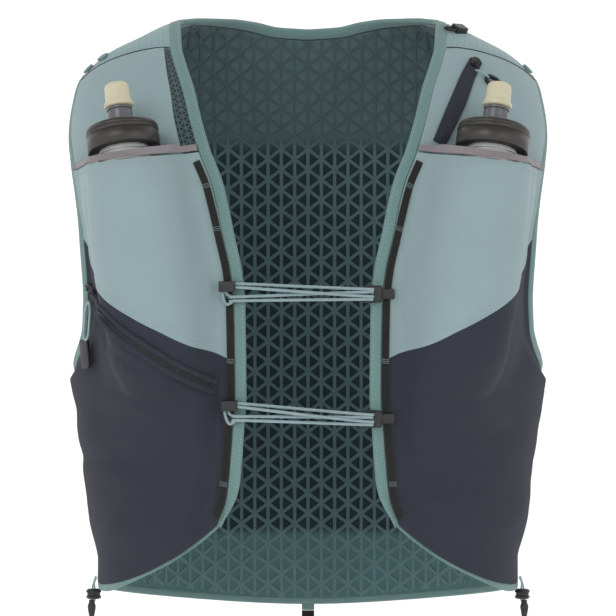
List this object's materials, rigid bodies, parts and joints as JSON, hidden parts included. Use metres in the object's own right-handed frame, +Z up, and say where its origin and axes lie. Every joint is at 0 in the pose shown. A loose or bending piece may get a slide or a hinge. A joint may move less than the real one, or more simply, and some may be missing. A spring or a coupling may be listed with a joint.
{
  "type": "running hydration vest",
  "caption": "Running hydration vest shown worn, with two soft flasks in chest pockets, zipped lower pockets, ribbed mesh back and cord closures.",
  "frame": {"origin": "in the neck opening, midway between the two shoulder seats, on the line where the vest rests on the shoulders", "axes": "+Z up, -Y out of the front opening, +X towards the right as seen from the front"},
  "size_m": [0.3302, 0.2689, 0.4306],
  "materials": {
    "light_cloth": "matt light grey-blue woven stretch cloth",
    "yoke_cloth": "matt grey-green ripstop cloth",
    "dark_cloth": "matt dark grey woven stretch cloth",
    "ribbed_mesh": "open knitted mesh with raised diamond ribs",
    "shell_cloth": "matt dark woven cloth",
    "edge_tape": "woven binding tape with two stitch lines",
    "rail_tape": "near-black woven tape",
    "mouth_tape": "pinkish-grey elastic band",
    "flask_film": "clear soft film, slightly cloudy",
    "cap_plastic": "dark moulded plastic with a fine groove",
    "collar_plastic": "smooth grey plastic",
    "valve_rubber": "soft cream silicone",
    "cord": "thin braided elastic cord",
    "trim_plastic": "dark moulded plastic"
  },
  "bodies": {
    "vest": {"back_mesh": "ribbed_mesh", "back_shell": "shell_cloth", "front_mesh_left": "ribbed_mesh", "chest_panel_left": "light_cloth", "shoulder_yoke_left": "yoke_cloth", "flask_pocket_left": "light_cloth", "lower_pocket_left": "dark_cloth", "pocket_mouth_left": "mouth_tape", "front_mesh_right": "ribbed_mesh", "chest_panel_right": "light_cloth", "shoulder_yoke_right": "yoke_cloth", "flask_pocket_right": "light_cloth", "lower_pocket_right": "dark_cloth", "pocket_mouth_right": "mouth_tape", "front_binding": "edge_tape", "armhole_binding_left": "edge_tape", "armhole_binding_right": "edge_tape", "hem_binding": "edge_tape", "cord_rail_left": "rail_tape", "cord_rail_right": "rail_tape", "cord_slider_upper": "trim_plastic", "hook_upper": "trim_plastic", "chest_cord_upper": "cord", "cord_slider_lower": "trim_plastic", "hook_lower": "trim_plastic", "chest_cord_lower": "cord", "flask_body_left": "flask_film", "flask_body_right": "flask_film", "pocket_zip": "trim_plastic", "pocket_zip_slider": "trim_plastic", "pocket_zip_cord": "cord", "pocket_zip_tab": "trim_plastic", "shoulder_zip": "dark_cloth", "shoulder_zip_slider": "trim_plastic", "shoulder_zip_cord": "cord", "shoulder_zip_ring": "trim_plastic", "shoulder_tab_left_outer": "edge_tape", "shoulder_tab_left_inner": "edge_tape", "shoulder_tab_right": "edge_tape", "pole_loop_lock": "trim_plastic", "pole_loop": "rail_tape", "hem_lock_left": "trim_plastic", "hem_pull_left": "trim_plastic", "hem_cord_left": "cord", "hem_lock_right": "trim_plastic", "hem_pull_right": "trim_plastic", "hem_cord_right": "cord", "hem_loop": "edge_tape", "hem_tab": "rail_tape"},
    "lid_left": {"flask_cap_left": "cap_plastic", "valve_collar_left": "collar_plastic", "bite_valve_left": "valve_rubber"},
    "lid_right": {"flask_cap_right": "cap_plastic", "valve_collar_right": "collar_plastic", "bite_valve_right": "valve_rubber"}
  },
  "joints": [
    {"name": "lid_left_turn", "type": "hinge", "parent": "vest", "child": "lid_left", "pos_m": [-0.1223, -0.11372, -0.08457], "axis": [-0.1262, 0.2568, 0.9582], "range_deg": [0, 360]},
    {"name": "lid_right_turn", "type": "hinge", "parent": "vest", "child": "lid_right", "pos_m": [0.1223, -0.11372, -0.08457], "axis": [0.1262, 0.2568, 0.9582], "range_deg": [0, 360]}
  ]
}
